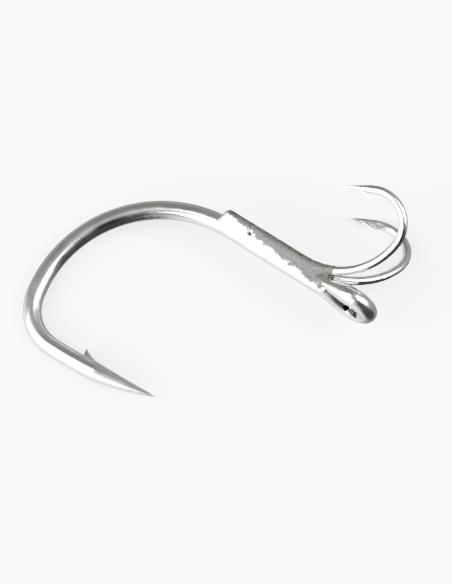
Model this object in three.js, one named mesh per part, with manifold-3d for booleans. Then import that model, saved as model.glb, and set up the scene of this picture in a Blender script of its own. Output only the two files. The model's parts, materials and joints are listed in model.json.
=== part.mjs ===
// Three-pronged fishing hook, in millimetres, +Z up, lying at rest on its side.
// One heavy eyed hook carries two lighter eyeless hooks, which lie side by side along its shank and are brazed to it.
// The light hooks face the other way: their bends are at the eye end, and their points face the heavy hook's bend.
//
// The hook's own axes, used by every shape below: X runs along the shank towards the eye, with the middle of the
// eye at 0; the heavy hook bends towards -Z and the light ones towards +Z; Y is across the heavy hook's plane.

import * as THREE from 'three';
import { mergeVertices } from 'three/addons/utils/BufferGeometryUtils.js';
import Module from 'manifold-3d';

const DEG = Math.PI / 180;

// Heavy hook
const LARGE_WIRE = 3.0; // diameter
const LARGE_BEND_START = -22.3; // where the straight shank ends
const LARGE_BENDS = [[20.2, 104], [7.2, 75.5], [72, 14.6]]; // radius and turn in degrees, in order, to the point
const LARGE_POINT = 10.4; // length of the ground point
const LARGE_BARB = { back: 13.1, lean: 0.35, height: 1.1, front: 1.5, rise: 0.25, width: 1.0 };

// Eye: a ring in the X-Y plane whose free end tapers and lies against the shank
const EYE_RADIUS = 2.9; // of the wire's middle line, so the hole is 2.8 mm across
const NECK_TURN = 40 * DEG; // how far the shank turns aside before it joins the ring
const NECK_RADIUS = 4.0;
const EYE_TILT = 1.3 * DEG; // the eye leans this far towards the light hooks' side
const EYE_ROLL = 3.5 * DEG; // and is turned this far about the shank
const TAIL_END = new THREE.Vector2(-5.3, -1.8);
const TAIL_TIP_RADIUS = 0.45;

// Light hooks
const SMALL_WIRE = 1.4; // diameter
const SMALL_SHANK_END = -23.7; // the cut end, beside the heavy hook's bend
const SMALL_BEND_START = -9.6;
const SMALL_BENDS = [[11.6, 81.3], [5.0, 121.4], [58.9, 5.1]];
const SMALL_POINT = 4.6;
const SMALL_BARB = { back: 3.5, lean: 0.95, height: 0.7, front: 0.9, rise: 0.1, width: 0.5 };
const SEAT = 46 * DEG; // how far round the heavy shank from its top each light shank sits
const SPLAY = 27.3 * DEG; // how far each light hook's plane leans from the heavy hook's plane

// Braze
const JOINT_GAP = 0.08; // between the heavy shank and each light one
const CLEARANCE = 0.05; // between the filler's solid and each wire's solid
const BRAZE_BEYOND_END = 0.7; // the filler runs on past the light hooks' cut ends
const BRAZE_STOP = -5.2; // where the filler ends, between the splayed light hooks
const BEAD_RADII = [1.7, 0.95, 1.0]; // of the bead that closes the eye, along X, Y and Z

// How the hook lies: it rests on the heavy bend and on one light point. Turns about X, then Y, then Z.
const LEAN = -82.9 * DEG;
const PITCH = -3.9 * DEG;
const HEADING = -28.2 * DEG;

const PLATED_STEEL = { color: 0xd6d6d2, roughness: 0.16, metalness: 1.0 };
const BRAZE_METAL = { color: 0xc6c6c0, roughness: 0.3, metalness: 1.0 };

const largeRadius = LARGE_WIRE / 2;
const smallRadius = SMALL_WIRE / 2;
const shankSpacing = largeRadius + smallRadius + JOINT_GAP;
const smallSide = shankSpacing * Math.sin(SEAT); // each light shank's distance from the hook's middle plane
const smallRise = shankSpacing * Math.cos(SEAT);

// A flat path set in space: its x and y run along the directions across and up, from origin.
class PlacedPath extends THREE.Curve {
  constructor(path, origin, across, up) {
    super();
    Object.assign(this, { path, origin, across, up });
  }

  getPoint(t, target = new THREE.Vector3()) {
    const flat = this.path.getPointAt(t);
    return target.copy(this.origin).addScaledVector(this.across, flat.x).addScaledVector(this.up, flat.y);
  }
}

// Adds left-hand arcs to a path, each tangent to what comes before it, and returns the heading at the end.
function addBends(path, heading, bends) {
  for (const [radius, turn] of bends) {
    const { x, y } = path.currentPoint;
    const side = heading - Math.PI / 2;
    path.absarc(x - Math.cos(side) * radius, y - Math.sin(side) * radius, radius, side, side + turn * DEG, false);
    heading += turn * DEG;
  }
  return heading;
}

// A closed wire along a curve. Its radius is radiusAt(distance from the start), and both ends close on the curve.
function sweepWire(curve, steps, sides, radiusAt) {
  const frames = curve.computeFrenetFrames(steps, false);
  const length = curve.getLength();
  const position = [];
  const index = [];
  for (let i = 0; i <= steps; i++) {
    const centre = curve.getPointAt(i / steps);
    const radius = radiusAt((length * i) / steps, length);
    for (let j = 0; j < sides; j++) {
      const angle = (2 * Math.PI * j) / sides;
      const point = centre.clone();
      point.addScaledVector(frames.normals[i], radius * Math.cos(angle));
      point.addScaledVector(frames.binormals[i], radius * Math.sin(angle));
      position.push(point.x, point.y, point.z);
    }
  }
  for (let i = 0; i < steps; i++) {
    for (let j = 0; j < sides; j++) {
      const [a, b] = [i * sides + j, i * sides + ((j + 1) % sides)];
      index.push(a, b, b + sides, a, b + sides, a + sides);
    }
  }
  for (const [ring, outward] of [[0, false], [steps, true]]) {
    const centre = position.length / 3;
    position.push(...curve.getPointAt(ring / steps).toArray());
    for (let j = 0; j < sides; j++) {
      const [a, b] = [ring * sides + j, ring * sides + ((j + 1) % sides)];
      index.push(...(outward ? [centre, a, b] : [centre, b, a]));
    }
  }
  const geometry = new THREE.BufferGeometry();
  geometry.setAttribute('position', new THREE.Float32BufferAttribute(position, 3));
  geometry.setIndex(index);
  return geometry;
}

// Radius near a ground point: full wire until the point begins, then a convex taper to a fine tip.
function groundRadius(radius, fromTip, pointLength) {
  const share = Math.min(1, fromTip / pointLength);
  return Math.max(0.02, radius * share ** 0.72);
}

const wasm = await Module();
wasm.setup();

function toSolid(geometry) {
  const bare = geometry.index ? geometry.toNonIndexed() : geometry.clone();
  bare.deleteAttribute('normal');
  bare.deleteAttribute('uv');
  const merged = mergeVertices(bare, 1e-4);
  const vertProperties = merged.attributes.position.array;
  return new wasm.Manifold(new wasm.Mesh({ numProp: 3, vertProperties, triVerts: new Uint32Array(merged.index.array) }));
}

function toGeometry(solid) {
  const mesh = solid.getMesh();
  const geometry = new THREE.BufferGeometry();
  geometry.setAttribute('position', new THREE.Float32BufferAttribute(mesh.vertProperties, 3));
  geometry.setIndex([...mesh.triVerts]);
  return geometry;
}

// The spur that a slanting cut raises behind a hook's point, on the inside of the bend.
// The path is the hook's flat path, and frame places it as the wire was placed.
function barbSolid(path, frame, wireRadius, barb) {
  const share = 1 - barb.back / path.getLength();
  const foot = path.getPointAt(share);
  const along = path.getTangentAt(share);
  const inward = new THREE.Vector2(-along.y, along.x);
  const outline = [
    [-0.1, wireRadius * 0.6],
    [-0.1, wireRadius],
    [-barb.lean, wireRadius + barb.height],
    [barb.front, wireRadius + barb.rise],
    [barb.front * 2.5, wireRadius * 0.6],
  ].map(([x, y]) => foot.clone().addScaledVector(along, x).addScaledVector(inward, y));
  const prism = new THREE.ExtrudeGeometry(new THREE.Shape(outline), { depth: barb.width, bevelEnabled: false });
  prism.translate(0, 0, -barb.width / 2);
  prism.applyMatrix4(frame);
  return toSolid(prism);
}

// Matrix that takes a flat path's x, y and its normal to across, up and their cross product, from origin.
function flatFrame(origin, across, up) {
  return new THREE.Matrix4().makeBasis(across, up, across.clone().cross(up)).setPosition(origin);
}

// ---- Heavy hook

// The eye, from the tip of its tail round the ring to the shank.
function eyePath() {
  const tangentAngle = TAIL_END.angle() + Math.acos(EYE_RADIUS / TAIL_END.length());
  const joinAngle = Math.PI / 2 + NECK_TURN;
  const join = new THREE.Vector2(Math.cos(joinAngle), Math.sin(joinAngle)).multiplyScalar(EYE_RADIUS);
  const cornerX = join.x - join.y / Math.tan(NECK_TURN);
  const neckStart = cornerX - NECK_RADIUS * Math.tan(NECK_TURN / 2);
  const path = new THREE.Path().moveTo(TAIL_END.x, TAIL_END.y);
  path.lineTo(EYE_RADIUS * Math.cos(tangentAngle), EYE_RADIUS * Math.sin(tangentAngle));
  path.absarc(0, 0, EYE_RADIUS, tangentAngle, joinAngle + 2 * Math.PI, false);
  path.absarc(neckStart, NECK_RADIUS, NECK_RADIUS, NECK_TURN - Math.PI / 2, -Math.PI / 2, true);
  return path;
}

const X = new THREE.Vector3(1, 0, 0);
const Y = new THREE.Vector3(0, 1, 0);
const Z = new THREE.Vector3(0, 0, 1);
const ORIGIN = new THREE.Vector3();

const eye = eyePath();
const shankStart = eye.getPointAt(1).x;
const eyeAcross = new THREE.Vector3(Math.cos(EYE_TILT), 0, Math.sin(EYE_TILT));
const eyeAside = new THREE.Vector3(0, Math.cos(EYE_ROLL), -Math.sin(EYE_ROLL));
const eyeCentre = new THREE.Vector3(shankStart, 0, 0).addScaledVector(eyeAcross, -shankStart);
const largeBend = new THREE.Path().moveTo(shankStart, 0);
largeBend.lineTo(LARGE_BEND_START, 0);
addBends(largeBend, Math.PI, LARGE_BENDS);

const largeCurve = new THREE.CurvePath();
largeCurve.add(new PlacedPath(eye, eyeCentre, eyeAcross, eyeAside));
largeCurve.add(new PlacedPath(largeBend, ORIGIN, X, Z));
const tailLength = eye.curves[0].getLength();

function largeWire(extra = 0) {
  return sweepWire(largeCurve, 96, 14, (distance, length) => {
    const grown = largeRadius + extra;
    const tail = Math.min(1, distance / tailLength);
    const tailRadius = TAIL_TIP_RADIUS + extra + (largeRadius - TAIL_TIP_RADIUS) * tail ** 0.8;
    return Math.min(grown, tailRadius, groundRadius(grown, length - distance, LARGE_POINT));
  });
}

function makeLargeHook() {
  const barb = barbSolid(largeBend, flatFrame(ORIGIN, X, Z), largeRadius, LARGE_BARB);
  return toGeometry(toSolid(largeWire()).add(barb));
}

// ---- Light hooks. side is 1 or -1, for the +Y and the -Y hook.

const smallBend = new THREE.Path().moveTo(SMALL_SHANK_END, 0);
smallBend.lineTo(SMALL_BEND_START, 0);
addBends(smallBend, 0, SMALL_BENDS);

function smallPlace(side) {
  const origin = new THREE.Vector3(0, side * smallSide, smallRise);
  const up = new THREE.Vector3(0, side * Math.sin(SPLAY), Math.cos(SPLAY));
  return { origin, up };
}

function smallWire(side, extra = 0) {
  const { origin, up } = smallPlace(side);
  const grown = smallRadius + extra;
  return sweepWire(new PlacedPath(smallBend, origin, X, up), 52, 10, (distance, length) =>
    groundRadius(grown, length - distance, SMALL_POINT));
}

function makeSmallHook(side) {
  const { origin, up } = smallPlace(side);
  const barb = barbSolid(smallBend, flatFrame(origin, X, up), smallRadius, SMALL_BARB);
  return toGeometry(toSolid(smallWire(side)).add(barb));
}

// ---- Braze

const wireCuts = toSolid(largeWire(CLEARANCE))
  .add(toSolid(smallWire(1, CLEARANCE)))
  .add(toSolid(smallWire(-1, CLEARANCE)));

// The filler between the shanks: a saddle on the heavy shank, up the light shanks' flanks and between their tops.
function makeShankBraze() {
  const foot = new THREE.Vector2(largeRadius - 0.05, -0.2);
  const waist = new THREE.Vector2(largeRadius + 0.05, smallRise / 2);
  const flank = new THREE.Vector2(smallSide + smallRadius * 0.75, smallRise - smallRadius * 0.45);
  const crown = new THREE.Vector2(smallSide - smallRadius * 0.3, smallRise + smallRadius * 0.85);
  const outline = new THREE.Shape();
  outline.moveTo(-foot.x, foot.y);
  outline.lineTo(foot.x, foot.y);
  outline.quadraticCurveTo(waist.x, waist.y, flank.x, flank.y);
  outline.lineTo(crown.x, crown.y);
  outline.quadraticCurveTo(0, smallRise + smallRadius * 0.5, -crown.x, crown.y);
  outline.lineTo(-flank.x, flank.y);
  outline.quadraticCurveTo(-waist.x, waist.y, -foot.x, foot.y);
  const start = SMALL_SHANK_END - BRAZE_BEYOND_END;
  const saddle = new THREE.ExtrudeGeometry(outline, {
    depth: BRAZE_STOP - start,
    curveSegments: 3,
    bevelEnabled: false,
  });
  saddle.applyMatrix4(flatFrame(new THREE.Vector3(start, 0, 0), Y, Z));
  return toGeometry(toSolid(saddle).subtract(wireCuts).subtract(eyeBead(CLEARANCE)));
}

// The bead that closes the eye, round the tail's tip.
function eyeBead(extra = 0) {
  const bead = new THREE.SphereGeometry(1, 14, 8);
  bead.rotateX(Math.PI / 2);
  bead.scale(...BEAD_RADII.map((radius) => radius + extra));
  bead.translate(TAIL_END.x + 0.5, TAIL_END.y + 0.35, 0.1);
  return toSolid(bead);
}

function makeEyeBraze() {
  return toGeometry(eyeBead().subtract(wireCuts));
}

// ---- Assembly

function piece(name, geometry, finish) {
  const mesh = new THREE.Mesh(geometry, new THREE.MeshStandardMaterial(finish));
  mesh.name = name;
  return mesh;
}

const hook = new THREE.Group();
hook.add(piece('large_hook', makeLargeHook(), PLATED_STEEL));
hook.add(piece('small_hook_left', makeSmallHook(1), PLATED_STEEL));
hook.add(piece('small_hook_right', makeSmallHook(-1), PLATED_STEEL));
hook.add(piece('shank_braze', makeShankBraze(), BRAZE_METAL));
hook.add(piece('eye_braze', makeEyeBraze(), BRAZE_METAL));

// Laid on its side, with the origin at the middle of the bottom of its bounding box.
hook.rotation.set(LEAN, PITCH, HEADING, 'ZYX');
const group = new THREE.Group();
group.add(hook);
const box = new THREE.Box3().setFromObject(group, true);
hook.position.set(-(box.min.x + box.max.x) / 2, -(box.min.y + box.max.y) / 2, -box.min.z);

export default group;
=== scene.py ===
"""The looks of a three-pronged fishing hook: one heavy eyed hook with two light hooks brazed along its shank.

Every wire is swept in the hook's own axes, in millimetres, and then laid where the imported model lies.
In those axes X runs along the shank towards the eye, with the middle of the eye near 0; the heavy hook bends
towards -Z and the light hooks towards +Z; Y is across the heavy hook's plane.
"""

import json
import math

import bmesh
import bpy
import numpy as np
from mathutils import Euler, Matrix, Vector, noise


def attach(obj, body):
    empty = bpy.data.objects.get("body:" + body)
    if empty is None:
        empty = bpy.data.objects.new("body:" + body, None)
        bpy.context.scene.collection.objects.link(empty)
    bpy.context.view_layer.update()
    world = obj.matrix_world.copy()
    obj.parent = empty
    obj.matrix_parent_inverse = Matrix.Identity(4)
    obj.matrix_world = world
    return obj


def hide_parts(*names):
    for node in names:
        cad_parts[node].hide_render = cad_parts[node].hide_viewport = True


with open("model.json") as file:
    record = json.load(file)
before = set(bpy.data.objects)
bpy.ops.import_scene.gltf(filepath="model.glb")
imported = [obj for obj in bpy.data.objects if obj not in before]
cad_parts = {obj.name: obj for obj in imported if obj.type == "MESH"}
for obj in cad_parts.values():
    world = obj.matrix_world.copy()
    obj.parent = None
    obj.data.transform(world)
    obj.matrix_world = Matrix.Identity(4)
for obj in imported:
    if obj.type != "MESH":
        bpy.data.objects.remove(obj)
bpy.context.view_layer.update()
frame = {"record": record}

MM = 0.001

# ---- Sizes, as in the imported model, in millimetres and degrees

LARGE_WIRE = 3.0
LARGE_BEND_START = -22.3
LARGE_BENDS = [(20.2, 104), (7.2, 75.5), (72, 14.6)]  # radius and turn, in order, to the point
LARGE_POINT = 10.4  # length of the ground point

EYE_RADIUS = 2.9  # of the wire's middle line
NECK_TURN = 40  # the bend between the ring and the shank
NECK_RADIUS = 4.0
EYE_TILT = 1.3  # the eye leans this far towards the light hooks' side
EYE_ROLL = 3.5  # and is turned this far about the shank
TAIL_END = Vector((-5.3, -1.8))
TAIL_TIP_RADIUS = 0.45
TAIL_TAPER = 0.8  # length of the tail's taper, as a share of its end's distance from the ring's middle
TAIL_CURVE = 0.8  # how the taper swells: 1 would be a straight cone

SMALL_WIRE = 1.4
SMALL_SHANK_END = -23.7
SMALL_BEND_START = -9.6
SMALL_BENDS = [(11.6, 81.3), (5.0, 121.4), (58.9, 5.1)]
SMALL_POINT = 4.6
SEAT = 46  # where a light shank sits, round the heavy one from its top
SPLAY = 27.3  # how far a light hook leans out to its own side
JOINT_GAP = 0.08

# A barb is a spur whose foot is "back" from the tip. Its slope starts "front" ahead of the foot and rises,
# bowed by "curve", to an edge "height" above the wire and "lean" behind the foot. Its steep back starts
# "face" behind the foot, and "width" is half its breadth.
LARGE_BARB = {
    "back": 13.1, "lean": 0.45, "height": 1.15, "front": 3.0, "width": 0.8, "face": 0.05, "curve": 1.6,
}
SMALL_BARB = {
    "back": 3.5, "lean": 0.95, "height": 0.75, "front": 1.0, "width": 0.34, "face": 0.1, "curve": 1.25,
}
SPUR_ROOT = 0.6  # how far its underside is from the wire's middle line, as a share of the wire's radius
SPUR_SINK = 0.12  # how far under the wire's surface its slope starts, as a share of its height

POINT_CURVE = 0.72  # how a ground point narrows: 1 would be a straight cone
TIP_RADIUS = 0.015
EDGE_ROUNDING = 0.35  # of a cut end, as a share of the wire's radius

LEAN, PITCH, HEADING = -82.9, -3.9, -28.2  # turns about X, Y and Z that lay the hook down

large_radius = LARGE_WIRE / 2
small_radius = SMALL_WIRE / 2
shank_spacing = large_radius + small_radius + JOINT_GAP
small_side = shank_spacing * math.sin(math.radians(SEAT))
small_rise = shank_spacing * math.cos(math.radians(SEAT))


# ---- Paths

def arc_steps(path, heading, radius, turn, step):
    """Adds an arc to a flat path, left-hand where turn is positive. Returns the new heading, in degrees."""
    start = math.radians(heading)
    side = 1 if turn > 0 else -1
    centre = path[-1] + side * radius * Vector((-math.sin(start), math.cos(start)))
    count = max(4, math.ceil(math.radians(abs(turn)) * radius / step))
    for i in range(1, count + 1):
        angle = math.radians(heading + turn * i / count)
        path.append(centre + side * radius * Vector((math.sin(angle), -math.cos(angle))))
    return heading + turn


def line_steps(path, end, step):
    start = path[-1].copy()
    count = max(2, math.ceil((end - start).length / step))
    path.extend(start.lerp(end, i / count) for i in range(1, count + 1))


def bend_path(start_x, bend_start, heading, bends, step):
    """A straight shank and then the bends, to the point's tip."""
    path = [Vector((start_x, 0))]
    line_steps(path, Vector((bend_start, 0)), step)
    for radius, turn in bends:
        heading = arc_steps(path, heading, radius, turn, step)
    return path


def eye_path(step):
    """The eye, from the tip of its tail round the ring to the shank."""
    tangent = math.atan2(TAIL_END.y, TAIL_END.x) + math.acos(EYE_RADIUS / TAIL_END.length)
    touch = EYE_RADIUS * Vector((math.cos(tangent), math.sin(tangent)))
    path = [TAIL_END.copy()]
    line_steps(path, touch, step)
    heading = math.degrees(tangent) + 90
    ring_turn = (90 + NECK_TURN + 360 - math.degrees(tangent)) % 360
    heading = arc_steps(path, heading, EYE_RADIUS, ring_turn, step)
    join = path[-1]
    corner_x = join.x - join.y / math.tan(math.radians(NECK_TURN))
    neck_run = NECK_RADIUS * math.tan(math.radians(NECK_TURN / 2))
    bend_at = corner_x + neck_run * math.cos(math.radians(NECK_TURN))
    line_steps(path, Vector((bend_at, (bend_at - corner_x) * math.tan(math.radians(NECK_TURN)))), step)
    arc_steps(path, 180 + NECK_TURN, NECK_RADIUS, -NECK_TURN, step)
    return path


def place(path, origin, across, up):
    return [origin + across * p.x + up * p.y for p in path]


def smooth_line(points, rounds):
    """Evens out a line's small kinks, keeping its ends."""
    for _ in range(rounds):
        inner = [(a + 2 * b + c) / 4 for a, b, c in zip(points, points[1:], points[2:])]
        points = [points[0], *inner, points[-1]]
    return points


def distances(points):
    total = [0.0]
    for a, b in zip(points, points[1:]):
        total.append(total[-1] + (b - a).length)
    return total


# ---- Meshes

UV_PER_MM = 0.01
SPUR_STEPS, SPUR_SIDES = 22, 16

hook_turn = Euler([math.radians(a) for a in (LEAN, PITCH, HEADING)], "XYZ").to_matrix()
eye_across = Vector((math.cos(math.radians(EYE_TILT)), 0, math.sin(math.radians(EYE_TILT))))
eye_aside = Vector((0, math.cos(math.radians(EYE_ROLL)), -math.sin(math.radians(EYE_ROLL))))


def lay_matrix(eye_centre):
    """Takes the hook's own axes, in millimetres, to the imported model's, in metres."""
    line_eye = next(m for m in frame["record"]["mounts"] if m["name"] == "line_eye")
    origin = Vector(line_eye["pos_m"]) - hook_turn @ eye_centre * MM
    return Matrix.Translation(origin) @ (hook_turn * MM).to_4x4()


def new_object(name, vertices, faces, to_frame, uvs=None):
    mesh = bpy.data.meshes.new(name)
    mesh.from_pydata([to_frame @ v for v in vertices], [], faces)
    if uvs:
        layer = mesh.uv_layers.new(name="along")
        for loop in mesh.loops:
            layer.data[loop.index].uv = uvs[loop.vertex_index]
    mesh.validate()
    mesh.shade_smooth()
    piece = bpy.data.objects.new(name, mesh)
    bpy.context.scene.collection.objects.link(piece)
    return piece


def sweep(name, points, sides, radius_at, to_frame):
    """A closed round wire along points. radius_at(distance, length) gives its radius."""
    along = distances(points)
    tangents = [(b - a).normalized() for a, b in zip(points, points[1:])]
    tangents = [tangents[0], *[(a + b).normalized() for a, b in zip(tangents, tangents[1:])], tangents[-1]]
    normal = tangents[0].orthogonal().normalized()
    vertices, uvs, faces = [], [], []
    for i, (centre, tangent) in enumerate(zip(points, tangents)):
        if i:
            normal = tangents[i - 1].rotation_difference(tangent) @ normal
        normal = (normal - tangent * normal.dot(tangent)).normalized()
        other = tangent.cross(normal)
        radius = radius_at(along[i], along[-1])
        for j in range(sides):
            angle = 2 * math.pi * j / sides
            vertices.append(centre + radius * (math.cos(angle) * normal + math.sin(angle) * other))
            uvs.append((along[i] * UV_PER_MM, j / sides))
    for i in range(len(points) - 1):
        for j in range(sides):
            a, b = i * sides + j, i * sides + (j + 1) % sides
            faces.append((a, b, b + sides, a + sides))
    faces.append(tuple(reversed(range(sides))))
    faces.append(tuple(range((len(points) - 1) * sides, len(points) * sides)))
    return new_object(name, vertices, faces, to_frame, uvs)


def ground_radius(radius, from_tip, point_length):
    share = min(1, from_tip / point_length)
    return max(TIP_RADIUS, radius * share ** POINT_CURVE)


def blunt_radius(radius, from_end):
    """A cut end with its edge rounded off."""
    rounding = EDGE_ROUNDING * radius
    if from_end >= rounding:
        return radius
    return radius - rounding + math.sqrt(max(0, rounding ** 2 - (rounding - from_end) ** 2))


def boolean(piece, tool, operation):
    modifier = piece.modifiers.new(operation, "BOOLEAN")
    modifier.operation = operation
    modifier.solver = "EXACT"
    modifier.object = tool
    bpy.context.view_layer.objects.active = piece
    bpy.ops.object.modifier_apply(modifier=modifier.name)
    bpy.data.objects.remove(tool, do_unlink=True)


def barb_frame(path, origin, across, up, back):
    """A barb's foot on the wire's middle line, the way to the tip and the way into the bend."""
    along = distances(path)
    at = along[-1] - back
    i = next(k for k, d in enumerate(along) if d > at)
    foot = path[i - 1].lerp(path[i], (at - along[i - 1]) / (along[i] - along[i - 1]))
    ahead = (path[i] - path[i - 1]).normalized()
    inward = Vector((-ahead.y, ahead.x))
    point = origin + across * foot.x + up * foot.y
    return point, across * ahead.x + up * ahead.y, across * inward.x + up * inward.y


def add_barb(piece, spot, wire_radius, barb, to_frame):
    """Joins on the spur that a slanting cut raises from the wire: a long slope and a steep face behind."""
    foot, ahead, inward = spot
    aside = ahead.cross(inward)
    run = barb["front"] + barb["lean"]
    root = wire_radius * SPUR_ROOT
    sunk = SPUR_SINK * barb["height"]
    vertices, faces = [], []
    for i in range(SPUR_STEPS + 1):
        share = i / SPUR_STEPS
        reach = barb["front"] - run * share
        top = wire_radius - sunk + (barb["height"] + sunk) * share ** barb["curve"]
        behind = max(0, -reach - barb["face"]) / (barb["lean"] - barb["face"])
        bottom = root + (top - root) * 0.96 * behind
        wide = barb["width"] * (1 - 0.35 * share) * (1 - 0.9 * behind ** 1.5)
        for j in range(SPUR_SIDES + 1):
            angle = math.pi * j / SPUR_SIDES
            height = bottom + (top - bottom) * math.sin(angle) ** 1.3
            vertices.append(foot + ahead * reach + inward * height + aside * math.cos(angle) * wide)
    ring = SPUR_SIDES + 1
    for i in range(SPUR_STEPS):
        for j in range(ring):
            a, b = i * ring + j, i * ring + (j + 1) % ring
            faces.append((a, b, b + ring, a + ring))
    faces.append(tuple(reversed(range(ring))))
    faces.append(tuple(range(SPUR_STEPS * ring, (SPUR_STEPS + 1) * ring)))
    spur = new_object("spur", vertices, faces, to_frame)
    fix_normals(spur)
    boolean(piece, spur, "UNION")


def fix_normals(piece):
    work = bmesh.new()
    work.from_mesh(piece.data)
    bmesh.ops.recalc_face_normals(work, faces=work.faces)
    work.to_mesh(piece.data)
    work.free()


# ---- The wires

X, Z = Vector((1, 0, 0)), Vector((0, 0, 1))
LARGE_STEP, SMALL_STEP = 0.22, 0.14  # between the rings of a sweep
LARGE_SIDES, SMALL_SIDES = 56, 36


def make_large_hook():
    """The heavy hook, and the matrix that lays the whole hook down."""
    eye = eye_path(LARGE_STEP)
    shank_start = eye[-1].x
    eye_centre = Vector((shank_start, 0, 0)) - eye_across * shank_start
    to_frame = lay_matrix(eye_centre)
    bend = bend_path(shank_start, LARGE_BEND_START, 180, LARGE_BENDS, LARGE_STEP)
    points = place(eye, eye_centre, eye_across, eye_aside) + place(bend, Vector(), X, Z)[1:]
    points = smooth_line(points, 3)
    taper = eye[0].length * TAIL_TAPER

    def radius_at(distance, length):
        share = min(1, distance / taper)
        tail_radius = TAIL_TIP_RADIUS + (large_radius - TAIL_TIP_RADIUS) * share ** TAIL_CURVE
        tail_radius = blunt_radius(tail_radius, distance)
        return min(tail_radius, ground_radius(large_radius, length - distance, LARGE_POINT))

    piece = sweep("large_hook_wire", points, LARGE_SIDES, radius_at, to_frame)
    spot = barb_frame(bend, Vector(), X, Z, LARGE_BARB["back"])
    add_barb(piece, spot, large_radius, LARGE_BARB, to_frame)
    return piece, to_frame


def small_axes(side):
    """Where a light hook's own plane starts, and the way that its bend rises."""
    origin = Vector((0, side * small_side, small_rise))
    up = Vector((0, side * math.sin(math.radians(SPLAY)), math.cos(math.radians(SPLAY))))
    return origin, up


def make_small_hook(name, side, to_frame):
    origin, up = small_axes(side)
    path = bend_path(SMALL_SHANK_END, SMALL_BEND_START, 0, SMALL_BENDS, SMALL_STEP)

    def radius_at(distance, length):
        ground = ground_radius(small_radius, length - distance, SMALL_POINT)
        return min(blunt_radius(small_radius, distance), ground)

    piece = sweep(name, place(path, origin, X, up), SMALL_SIDES, radius_at, to_frame)
    spot = barb_frame(path, origin, X, up, SMALL_BARB["back"])
    add_barb(piece, spot, small_radius, SMALL_BARB, to_frame)
    return piece


# ---- The braze

BRAZE_START, BRAZE_END = -25.6, -4.0
SLEEVE_START, SLEEVE_END = -19.3, -5.3  # between these, the coat runs right round the heavy shank
SLEEVE_COAT = 0.04  # its thickness
SLEEVE_SINK = 0.03  # how far under the heavy wire's surface the filler stays elsewhere
LIGHT_COAT = 0.05  # thickness over the light wires
LIGHT_SINK = 0.12  # by how much that coat thins out towards the eye
LIGHT_INSET = 0.35  # how far before a light wire's cut end its coat starts to round off
FILLET, FILLET_LOSS = 1.65, 1.0  # the fillet between the wires, and by how much it shrinks towards the eye
CROTCH_AHEAD, CROTCH_RISE = 0.9, 3.2  # middle of the scoop between the light hooks, ahead of the filler's end
CROTCH_RADIUS = 1.6
BRAZE_CELL, BEAD_CELL = 0.1, 0.07

# Ellipsoids, each with its middle and its radii.
PITS = [
    ((-19.0, -1.74, 0.63), (0.45, 0.3, 0.3)),
    ((-4.85, -1.5, 2.1), (0.45, 0.6, 0.4)),
]
TAIL_COVER = ((-5.35, -1.45, 0.3), (1.15, 0.75, 0.85))
BEAD_MASS = ((-3.95, -1.75, 0.35), (1.2, 0.95, 0.8))
BEAD_LOBE = ((-3.0, -2.0, 0.25), (0.8, 0.85, 0.6))
BEAD_DROP = ((-4.42, -1.75, -0.64), (0.6, 0.65, 0.56))

LUMPS = [(0.022, 1.5, 3.1), (0.01, 0.45, 9.7)]  # height, size and seed of the roughness of the filler


def ramp(value, low, high):
    share = np.clip((value - low) / (high - low), 0, 1)
    return share * share * (3 - 2 * share)


def soft_union(first, second, reach):
    """The nearer of two distances, with a fillet where they meet."""
    share = np.maximum(reach - np.abs(first - second), 0) / reach
    return np.minimum(first, second) - share ** 2 * reach / 4


def soft_cut(body, tool, reach):
    """What is left of a body when a tool has cut it, with the edge rounded off."""
    return -soft_union(-body, tool, reach)


def ellipsoid_distance(x, y, z, centre, radii):
    scaled = [(p - c) / r for p, c, r in zip((x, y, z), centre, radii)]
    return (np.sqrt(sum(s ** 2 for s in scaled)) - 1) * min(radii)


def light_wire_distance(x, y, z, side):
    """Distance to a light wire's middle line, round its cut end, along its shank and into its bend."""
    origin, up = small_axes(side)
    rise = (y - origin.y) * up.y + (z - origin.z) * up.z
    across = (y - origin.y) * up.z - (z - origin.z) * up.y
    radius = SMALL_BENDS[0][0]
    past_end = np.maximum(SMALL_SHANK_END + LIGHT_INSET - x, 0)
    in_bend = radius - np.hypot(np.maximum(x - SMALL_BEND_START, 0), radius - rise)
    return np.sqrt(in_bend ** 2 + across ** 2 + past_end ** 2)


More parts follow.
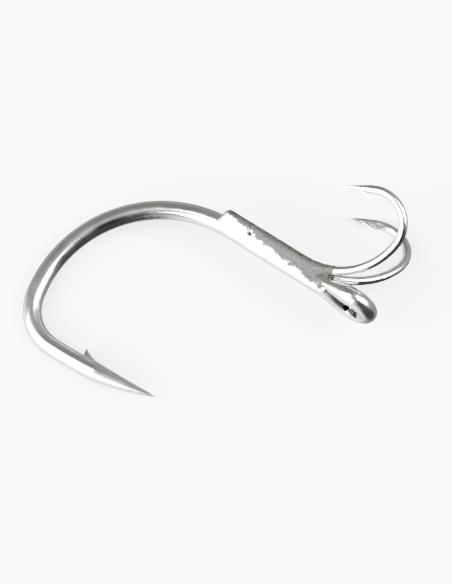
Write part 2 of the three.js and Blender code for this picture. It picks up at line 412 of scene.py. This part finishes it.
def braze_distance(x, y, z):
    """Distance to the filler's surface: negative inside it."""
    bend_radius = LARGE_BENDS[0][0]
    into_bend = np.minimum(x - LARGE_BEND_START, 0)
    round_shank = np.hypot(y, np.hypot(into_bend, z + bend_radius) - bend_radius)
    sleeve = ramp(x + 0.25 * np.sin(2.1 * z + 0.6), SLEEVE_START - 0.25, SLEEVE_START + 0.2)
    sleeve *= 1 - ramp(x, SLEEVE_END - 0.9, SLEEVE_END)
    round_shank = np.hypot(round_shank, np.maximum(x - SLEEVE_END + 0.3, 0))
    coat = (SLEEVE_COAT + SLEEVE_SINK) * sleeve - SLEEVE_SINK
    filler = round_shank - large_radius - coat
    at_eye = ramp(x, BRAZE_END - 1.2, BRAZE_END)
    reach = FILLET - FILLET_LOSS * at_eye
    for side in (-1, 1):
        wire = light_wire_distance(x, y, z, side) - small_radius - LIGHT_COAT + LIGHT_SINK * at_eye
        filler = soft_union(filler, wire, reach)
    filler = soft_union(filler, ellipsoid_distance(x, y, z, *TAIL_COVER), 0.7)
    filler = np.maximum(filler, BRAZE_START - x)
    scoop_x, scoop_z = x - BRAZE_END - CROTCH_AHEAD, z - CROTCH_RISE
    crotch = np.sqrt(scoop_x ** 2 + (0.55 * y) ** 2 + scoop_z ** 2) - CROTCH_RADIUS
    filler = soft_cut(filler, crotch, 0.35)
    ragged_end = BRAZE_END - 0.3 + 0.3 * np.sin(3.1 * z + 1.7 * y) + 0.12 * np.sin(9 * z - 4 * y)
    filler = soft_cut(filler, ragged_end - x, 0.3)
    for centre, radii in PITS:
        filler = soft_cut(filler, ellipsoid_distance(x, y, z, centre, radii), 0.15)
    return filler


def surface_of(distance, low, high, cell):
    """Vertices and quads of the surface where distance is 0, one vertex to each cell that it crosses."""
    counts = [math.ceil((b - a) / cell) + 1 for a, b in zip(low, high)]
    axes = [a + cell * np.arange(n) for a, n in zip(low, counts)]
    values = distance(*np.meshgrid(*axes, indexing="ij"))
    cells = tuple(n - 1 for n in counts)
    total, crossings = np.zeros((*cells, 3)), np.zeros(cells)
    corners = [(i, j, k) for i in (0, 1) for j in (0, 1) for k in (0, 1)]

    def corner_values(corner):
        return values[tuple(slice(c, c + n) for c, n in zip(corner, cells))]

    for start in corners:
        for axis in range(3):
            if start[axis]:
                continue
            end = tuple(c + (k == axis) for k, c in enumerate(start))
            a, b = corner_values(start), corner_values(end)
            crossed = (a < 0) != (b < 0)
            share = np.where(crossed, a / np.where(crossed, a - b, 1), 0)
            for k in range(3):
                total[..., k] += np.where(crossed, start[k] + (share if k == axis else 0), 0)
            crossings += crossed
    used = crossings > 0
    number = np.full(cells, -1)
    number[used] = np.arange(used.sum())
    where = np.argwhere(used) + total[used] / crossings[used][:, None]
    vertices = [Vector(low) + Vector(v) * cell for v in where.tolist()]
    faces = []
    inside = values < 0
    for axis in range(3):
        ahead = [slice(None)] * 3
        behind = [slice(None)] * 3
        ahead[axis], behind[axis] = slice(1, None), slice(None, -1)
        for i, j, k in np.argwhere(inside[tuple(ahead)] != inside[tuple(behind)]).tolist():
            one, two = (axis + 1) % 3, (axis + 2) % 3
            ring = []
            for da, db in ((0, 0), (-1, 0), (-1, -1), (0, -1)):
                at = [i, j, k]
                at[one] += da
                at[two] += db
                ring.append(int(number[tuple(at)]))
            faces.append(tuple(ring) if inside[i, j, k] else tuple(reversed(ring)))
    return vertices, faces


def rough(point, size, seed):
    """Fractal noise about 0, whose largest lumps are about size across."""
    return noise.fractal(point / size + Vector((seed, 0, 0)), 0.6, 2.1, 4)


def make_filler(name, distance, low, high, cell, to_frame):
    """The surface of a lot of filler inside a box, moved in and out along its normals by the lumps."""
    vertices, faces = surface_of(distance, low, high, cell)
    piece = new_object(name, vertices, faces, Matrix())
    fix_normals(piece)
    normals = [v.normal.copy() for v in piece.data.vertices]
    for vertex, normal, at in zip(piece.data.vertices, normals, vertices):
        lump = sum(height * rough(at, size, seed) for height, size, seed in LUMPS)
        vertex.co = to_frame @ (at + normal * lump)
    fix_normals(piece)
    return piece


def make_shank_braze(to_frame):
    low, high = (BRAZE_START - 0.3, -3.4, -2.0), (BRAZE_END + 0.4, 3.4, 4.2)
    return make_filler("shank_braze_skin", braze_distance, low, high, BRAZE_CELL, to_frame)


def eye_bead_distance(x, y, z):
    """The closure: a lumpy mass along the tail, and a drop beside it with a crease between them."""
    mass, lobe, drop = [ellipsoid_distance(x, y, z, *part) for part in (BEAD_MASS, BEAD_LOBE, BEAD_DROP)]
    return soft_union(soft_union(mass, lobe, 0.25), drop, 0.12)


def make_eye_braze(to_frame):
    low, high = (-5.8, -3.2, -1.6), (-1.8, -0.2, 1.7)
    return make_filler("eye_braze_bead", eye_bead_distance, low, high, BEAD_CELL, to_frame)


# ---- Materials

DULL_LEVEL = -1.6  # height of the dull filler's edge above the heavy shank's middle line, level with the eye
DULL_SLOPE = 0.12  # and how much higher that is for each millimetre away from the eye
BRIGHT_LEVEL = 4  # a height for that edge at which no filler is dull
DULL_RAGGED = 3.4  # how far the edge wanders, from the lowest of the noise to the highest
DULL_EDGE = 0.08  # half the width over which it fades
# The black is painted shade; the brown is a stain's colour.
SHADE_BLACK, BROWN = (0.004, 0.004, 0.004), (0.05, 0.02, 0.016)
PALE_PLATING, GREY_PLATING = (0.87, 0.86, 0.83), (0.76, 0.745, 0.70)
PALE_BRAZE, GREY_BRAZE = (0.86, 0.86, 0.85), (0.66, 0.65, 0.63)
PALE_CRUST, DARK_CRUST = (0.032, 0.0315, 0.028), (0.005, 0.0049, 0.0045)

# Dark spots: where each one is, how far it reaches in millimetres, and its colour. The black spots are
# painted shade in hollows; the brown one is a stain.
# Painted shade: black in the two pits and in the crease beside the eye's drop.
BRAZE_PAINTED_SHADE = [
    ((-19.0, -1.75, 0.6), 0.42, SHADE_BLACK),
    ((-4.85, -1.4, 2.1), 0.8, SHADE_BLACK),
    ((-5.0, -2.0, -0.6), 0.3, SHADE_BLACK),
]
# Painted shade: black on the inside of the eye's ring. The brown spot under the eye's closure is a stain.
WIRE_SHADE_AND_STAINS = [
    ((-4.2, -1.2, -1.2), 0.5, BROWN),
    ((-0.5, 1.3, -0.8), 0.65, SHADE_BLACK),
    ((0.4, 1.3, -0.8), 0.8, SHADE_BLACK),
    ((1.3, 1.3, -0.85), 0.7, SHADE_BLACK),
]
SPOT_RAGGED = 1.4  # how far a spot's edge wanders, as a share of its reach
SPOT_INNER, SPOT_OUTER = 1.45, 1.75  # where it starts to fade and ends, counting the wander


def node(tree, kind, **settings):
    made = tree.nodes.new(kind)
    for key, value in settings.items():
        setattr(made, key, value)
    return made


def noise_node(tree, coordinates, scale, detail, roughness=0.55):
    made = node(tree, "ShaderNodeTexNoise")
    made.inputs["Scale"].default_value = scale
    made.inputs["Detail"].default_value = detail
    made.inputs["Roughness"].default_value = roughness
    tree.links.new(coordinates, made.inputs["Vector"])
    return made.outputs["Fac"]


def spread(tree, value, low, high, from_low=0.35, from_high=0.65):
    """Maps a value's own range, by default that of noise, onto low to high."""
    made = node(tree, "ShaderNodeMapRange")
    for key, number in (("From Min", from_low), ("From Max", from_high), ("To Min", low), ("To Max", high)):
        made.inputs[key].default_value = number
    tree.links.new(value, made.inputs["Value"])
    return made.outputs["Result"]


def mix_colour(tree, share, first, second):
    """Mixes two colours, each a tuple or a socket."""
    made = node(tree, "ShaderNodeMix", data_type="RGBA")
    tree.links.new(share, made.inputs["Factor"])
    for key, colour in (("A", first), ("B", second)):
        socket = next(s for s in made.inputs if s.name == key and s.type == "RGBA")
        if isinstance(colour, tuple):
            socket.default_value = (*colour, 1)
        else:
            tree.links.new(colour, socket)
    return next(s for s in made.outputs if s.type == "RGBA")


def bump(tree, height, distance, strength, normal=None):
    made = node(tree, "ShaderNodeBump")
    made.inputs["Distance"].default_value = distance
    made.inputs["Strength"].default_value = strength
    tree.links.new(height, made.inputs["Height"])
    if normal is not None:
        tree.links.new(normal, made.inputs["Normal"])
    return made.outputs["Normal"]


def metal(name):
    material = bpy.data.materials.new(name)
    material.use_nodes = True
    tree = material.node_tree
    shader = tree.nodes["Principled BSDF"]
    shader.inputs["Metallic"].default_value = 1.0
    return material, tree, shader


def with_shade_and_stains(tree, colour, place_at, blotch, spots, to_frame):
    """The colour with each dark spot laid over it, within a ragged edge: painted shade where a spot is black,
    a stain where it is brown.
    """
    for spot, size, spot_colour in spots:
        gap = node(tree, "ShaderNodeVectorMath", operation="DISTANCE")
        tree.links.new(place_at, gap.inputs[0])
        gap.inputs[1].default_value = to_frame @ Vector(spot)
        wander = node(tree, "ShaderNodeMath", operation="MULTIPLY_ADD")
        tree.links.new(blotch, wander.inputs[0])
        wander.inputs[1].default_value = SPOT_RAGGED * size * MM
        tree.links.new(gap.outputs["Value"], wander.inputs[2])
        inner, outer = SPOT_INNER * size * MM, SPOT_OUTER * size * MM
        inside = spread(tree, wander.outputs["Value"], 1, 0, inner, outer)
        colour = mix_colour(tree, inside, colour, spot_colour)
    return colour


def tinned_wire(to_frame):
    """Bright plating, a little cloudy, with faint drawing lines along the wire and orange peel."""
    material, tree, shader = metal("tinned_wire")
    coordinates = node(tree, "ShaderNodeTexCoord")
    place_at = coordinates.outputs["Object"]
    along = node(tree, "ShaderNodeMapping")
    along.inputs["Scale"].default_value = (60, 90, 1)
    tree.links.new(coordinates.outputs["UV"], along.inputs["Vector"])
    cloud = noise_node(tree, place_at, 260, 5)
    lines = noise_node(tree, along.outputs["Vector"], 1.0, 3)
    peel = noise_node(tree, place_at, 1500, 3)
    colour = mix_colour(tree, spread(tree, cloud, 0, 1), PALE_PLATING, GREY_PLATING)
    blotch = noise_node(tree, place_at, 900, 8, 0.78)
    # Lays painted shade, black, inside the eye's ring, and a brown stain.
    colour = with_shade_and_stains(tree, colour, place_at, blotch, WIRE_SHADE_AND_STAINS, to_frame)
    tree.links.new(colour, shader.inputs["Base Color"])
    tree.links.new(spread(tree, cloud, 0.10, 0.2), shader.inputs["Roughness"])
    surface = bump(tree, lines, 0.00002, 0.25)
    surface = bump(tree, peel, 0.00002, 0.3, surface)
    tree.links.new(surface, shader.inputs["Normal"])
    return material


def braze_metal(name, to_frame, dull_level):
    """Bright filler, with a dull and grainy crust on the light hooks' side, down to a ragged edge."""
    material, tree, shader = metal(name)
    place_at = node(tree, "ShaderNodeTexCoord").outputs["Object"]
    blotch = noise_node(tree, place_at, 900, 8, 0.78)
    grain = noise_node(tree, place_at, 3600, 4, 0.6)
    rise = to_frame.to_3x3().normalized() @ Vector((DULL_SLOPE, 0, 1))
    height = node(tree, "ShaderNodeVectorMath", operation="DOT_PRODUCT")
    tree.links.new(place_at, height.inputs[0])
    height.inputs[1].default_value = rise
    level = rise.dot(to_frame.translation) + dull_level * MM
    ragged = node(tree, "ShaderNodeMath", operation="MULTIPLY_ADD")
    tree.links.new(blotch, ragged.inputs[0])
    ragged.inputs[1].default_value = DULL_RAGGED * MM
    tree.links.new(height.outputs["Value"], ragged.inputs[2])
    middle, edge = level + 0.5 * DULL_RAGGED * MM, DULL_EDGE * MM
    dull = spread(tree, ragged.outputs["Value"], 0, 1, middle - edge, middle + edge)
    crust = mix_colour(tree, spread(tree, grain, 0, 1), DARK_CRUST, PALE_CRUST)
    bright = mix_colour(tree, spread(tree, blotch, 0, 1, 0.35, 0.5), GREY_BRAZE, PALE_BRAZE)
    colour = mix_colour(tree, dull, bright, crust)
    # Lays painted shade, black, in the filler's pits and in the crease by the eye's drop.
    colour = with_shade_and_stains(tree, colour, place_at, blotch, BRAZE_PAINTED_SHADE, to_frame)
    tree.links.new(colour, shader.inputs["Base Color"])
    tree.links.new(spread(tree, dull, 0.2, 0.55, 0, 1), shader.inputs["Roughness"])
    tree.links.new(spread(tree, dull, 1, 0.15, 0, 1), shader.inputs["Metallic"])
    shader.inputs["Specular IOR Level"].default_value = 0.15
    surface = bump(tree, blotch, 0.00008, 0.35)
    surface = bump(tree, grain, 0.00003, 0.6, surface)
    tree.links.new(surface, shader.inputs["Normal"])
    return material


def floor_material():
    material = bpy.data.materials.new("pale_floor")
    material.use_nodes = True
    shader = material.node_tree.nodes["Principled BSDF"]
    shader.inputs["Base Color"].default_value = (0.93, 0.93, 0.93, 1)
    shader.inputs["Roughness"].default_value = 0.9
    return material


# ---- Stage

VIEW_ELEVATION = 69.05
VIEW_ROLL = 6.55
VIEW_DISTANCE = 0.5353
VIEW_LENS = 215.75
AIM = Vector((0.0014, -0.0004, 0.0076))
FLOOR_HALF = 4.0

# Each light's name, azimuth, elevation, distance, width, height and radiance, in degrees and metres.
SOFTBOXES = [
    ("left_softbox", -124, 22, 0.8, 1.0, 0.85, 46.0),
    ("high_softbox", -110, 60, 0.8, 0.22, 0.3, 46.0),
    ("right_softbox", 88, 50, 0.8, 0.45, 0.72, 42.0),
]

# Parts of the sky that differ from its plain grey: azimuth, elevation, the half-angle within which the patch
# is full, the half-angle at which it has faded out, and brightness.
SKY_GREY = 0.42
SKY_PATCHES = [
    (147, 32, 24, 46, 0.025),
    (-35, 45, 10, 50, 0.22),
    (0, -90, 84, 100, 0.42),
    (-120, -25, 25, 60, 4.0),
    (115, -40, 25, 60, 0.32),
    (142, -18, 25, 50, 0.06),
    (0, -69, 8, 24, 0.25),
]


def direction(azimuth, elevation):
    """Azimuth 0 is +Y and 90 is +X."""
    a, e = math.radians(azimuth), math.radians(elevation)
    return Vector((math.sin(a) * math.cos(e), math.cos(a) * math.cos(e), math.sin(e)))


def make_camera():
    data = bpy.data.cameras.new("camera")
    data.lens = VIEW_LENS
    data.sensor_width = 36
    data.clip_start = 0.01
    camera = bpy.data.objects.new("camera", data)
    bpy.context.scene.collection.objects.link(camera)
    forward = -direction(180, VIEW_ELEVATION)
    camera.location = AIM - forward * VIEW_DISTANCE
    upright = forward.to_track_quat("-Z", "Y").to_matrix()
    camera.rotation_euler = (upright @ Matrix.Rotation(math.radians(VIEW_ROLL), 3, "Z")).to_euler()
    bpy.context.scene.camera = camera


def softbox(name, azimuth, elevation, distance, width, height, radiance):
    data = bpy.data.lights.new(name, "AREA")
    data.shape = "RECTANGLE"
    data.size, data.size_y = width, height
    data.energy = radiance * width * height * math.pi
    light = bpy.data.objects.new(name, data)
    bpy.context.scene.collection.objects.link(light)
    way = direction(azimuth, elevation)
    light.location = way * distance
    light.rotation_euler = way.to_track_quat("Z", "Y").to_euler()
    light.visible_camera = False


def make_stage():
    mesh = bpy.data.meshes.new("floor")
    corners = [(x * FLOOR_HALF, y * FLOOR_HALF, 0) for x, y in ((-1, -1), (1, -1), (1, 1), (-1, 1))]
    mesh.from_pydata(corners, [], [(0, 1, 2, 3)])
    floor = bpy.data.objects.new("floor", mesh)
    floor.visible_glossy = False  # the metal mirrors the sky's painted patches, not a white floor
    bpy.context.scene.collection.objects.link(floor)
    mesh.materials.append(floor_material())
    for light in SOFTBOXES:
        softbox(*light)


def make_sky():
    """Plain grey with the patches laid over it one after another, all round, below the horizon too."""
    world = bpy.data.worlds.new("sky")
    bpy.context.scene.world = world
    world.use_nodes = True
    tree = world.node_tree
    way = node(tree, "ShaderNodeTexCoord").outputs["Generated"]
    brightness = SKY_GREY
    for azimuth, elevation, full, faded, value in SKY_PATCHES:
        dot = node(tree, "ShaderNodeVectorMath", operation="DOT_PRODUCT")
        tree.links.new(way, dot.inputs[0])
        dot.inputs[1].default_value = direction(azimuth, elevation)
        share = node(tree, "ShaderNodeMapRange", interpolation_type="SMOOTHSTEP")
        share.inputs["From Min"].default_value = math.cos(math.radians(faded))
        share.inputs["From Max"].default_value = math.cos(math.radians(full))
        tree.links.new(dot.outputs["Value"], share.inputs["Value"])
        mix = node(tree, "ShaderNodeMix")
        tree.links.new(share.outputs["Result"], mix.inputs["Factor"])
        if isinstance(brightness, float):
            mix.inputs["A"].default_value = brightness
        else:
            tree.links.new(brightness, mix.inputs["A"])
        mix.inputs["B"].default_value = value
        brightness = mix.outputs["Result"]
    background = tree.nodes["Background"]
    tree.links.new(brightness, background.inputs["Color"])


# ---- Assembly

def hand_over(piece, material, cad_node):
    """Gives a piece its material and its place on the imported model."""
    piece.data.materials.clear()
    piece.data.materials.append(material)
    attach(piece, "root")
    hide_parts(cad_node)


make_camera()
make_stage()
make_sky()
large_hook, lay = make_large_hook()
wire_finish = tinned_wire(lay)
braze_finish = braze_metal("braze_metal", lay, DULL_LEVEL)
bead_finish = braze_metal("bright_braze_metal", lay, BRIGHT_LEVEL)
hand_over(large_hook, wire_finish, "large_hook")
for small_hook, side in (("small_hook_left", 1), ("small_hook_right", -1)):
    hand_over(make_small_hook(f"{small_hook}_wire", side, lay), wire_finish, small_hook)
hand_over(make_shank_braze(lay), braze_finish, "shank_braze")
hand_over(make_eye_braze(lay), bead_finish, "eye_braze")
